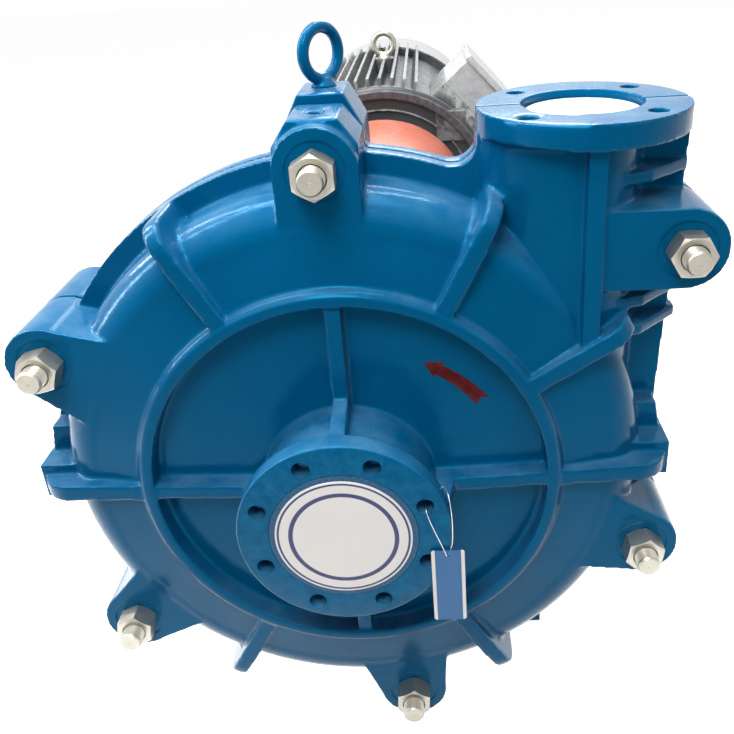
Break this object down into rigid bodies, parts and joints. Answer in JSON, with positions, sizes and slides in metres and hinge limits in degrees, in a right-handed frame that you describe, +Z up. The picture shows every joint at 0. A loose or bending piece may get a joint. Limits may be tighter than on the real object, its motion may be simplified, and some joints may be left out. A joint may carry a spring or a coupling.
{
  "type": "slurry pump",
  "caption": "Split-casing centrifugal slurry pump with ribbed cover plate, flanged suction and discharge, bearing frame, guarded coupling and finned motor on a channel base.",
  "frame": {"origin": "centre of the suction flange face, on the shaft axis", "axes": "+Y along the shaft towards the motor, +Z up along the discharge, +X to the discharge side"},
  "size_m": [0.784, 2.0409, 1.0683],
  "materials": {
    "casing_paint": "gloss blue paint over rough casting",
    "plated_steel": "zinc-plated, slightly yellow",
    "hard_iron": "as-cast white iron",
    "port_cover_white": "white sheet with blue rings",
    "bronze": "turned bronze",
    "packing_fibre": "braided packing",
    "machined_steel": "turned and ground",
    "bearing_steel": "ground and polished",
    "bush_rubber": "moulded rubber",
    "guard_orange": "satin orange paint on sheet",
    "motor_grey": "dark grey paint on ribbed casting",
    "cowl_grey": "light grey paint on sheet",
    "winding_copper": "varnished copper wire",
    "fan_plastic": "moulded"
  },
  "bodies": {
    "pump_set": {"cover_plate": "casing_paint", "frame_plate": "casing_paint", "lifting_eye": "casing_paint", "pump_frame": "casing_paint", "stuffing_box": "casing_paint", "base_rails": "casing_paint", "base_cross_members": "casing_paint", "motor_pedestals": "casing_paint", "cover_bolts": "plated_steel", "cover_nuts": "plated_steel", "gland_studs": "plated_steel", "frame_studs": "plated_steel", "clamp_washers": "plated_steel", "clamp_bolts": "plated_steel", "adjusting_screw": "plated_steel", "foot_bolts": "plated_steel", "motor_eyebolt": "plated_steel", "volute_liner": "hard_iron", "throatbush": "hard_iron", "back_liner": "hard_iron", "suction_port_cover": "port_cover_white", "discharge_port_cover": "port_cover_white", "lantern_ring": "bronze", "packing_rings": "packing_fibre", "stator_core": "machined_steel", "motor_outer_races": "bearing_steel", "coupling_guard": "guard_orange", "motor_frame": "motor_grey", "motor_front_shield": "motor_grey", "motor_rear_shield": "motor_grey", "fan_cowl": "cowl_grey", "terminal_box": "cowl_grey", "terminal_lid": "cowl_grey", "stator_windings": "winding_copper"},
    "bearing_cartridge": {"bearing_housing": "casing_paint", "pump_end_outer_race": "bearing_steel", "drive_end_outer_race": "bearing_steel", "pump_end_cover": "casing_paint", "drive_end_cover": "casing_paint", "end_cover_screws": "plated_steel", "adjusting_nuts": "plated_steel"},
    "pump_rotor": {"impeller": "hard_iron", "shaft_sleeve": "machined_steel", "pump_shaft": "machined_steel", "pump_shaft_key": "machined_steel", "pump_end_inner_race": "bearing_steel", "drive_end_inner_race": "bearing_steel", "bearing_lock_nut": "machined_steel", "labyrinth_rings": "machined_steel", "pump_coupling_half": "casing_paint"},
    "motor_rotor": {"motor_shaft": "machined_steel", "motor_shaft_key": "machined_steel", "motor_inner_races": "bearing_steel", "rotor_core": "machined_steel", "cooling_fan": "fan_plastic", "motor_coupling_half": "casing_paint", "coupling_pins": "plated_steel", "coupling_bushes": "bush_rubber"},
    "gland": {"gland_halves": "bronze", "gland_nuts": "plated_steel"}
  },
  "joints": [
    {"name": "cartridge_adjust", "type": "slide", "parent": "pump_set", "child": "bearing_cartridge", "axis": [0, 1, 0], "range_m": [-0.002, 0.003]},
    {"name": "pump_spin", "type": "hinge", "parent": "bearing_cartridge", "child": "pump_rotor", "pos_m": [0, 0, 0], "axis": [0, -1, 0], "continuous": true},
    {"name": "motor_spin", "type": "hinge", "parent": "pump_set", "child": "motor_rotor", "pos_m": [0, 1.2, 0], "axis": [0, -1, 0], "continuous": true},
    {"name": "gland_slide", "type": "slide", "parent": "pump_set", "child": "gland", "axis": [0, 1, 0], "range_m": [0, 0.012]}
  ],
  "couplings": [
    {"joint": "pump_spin", "follows": "motor_spin", "ratio": 1}
  ]
}
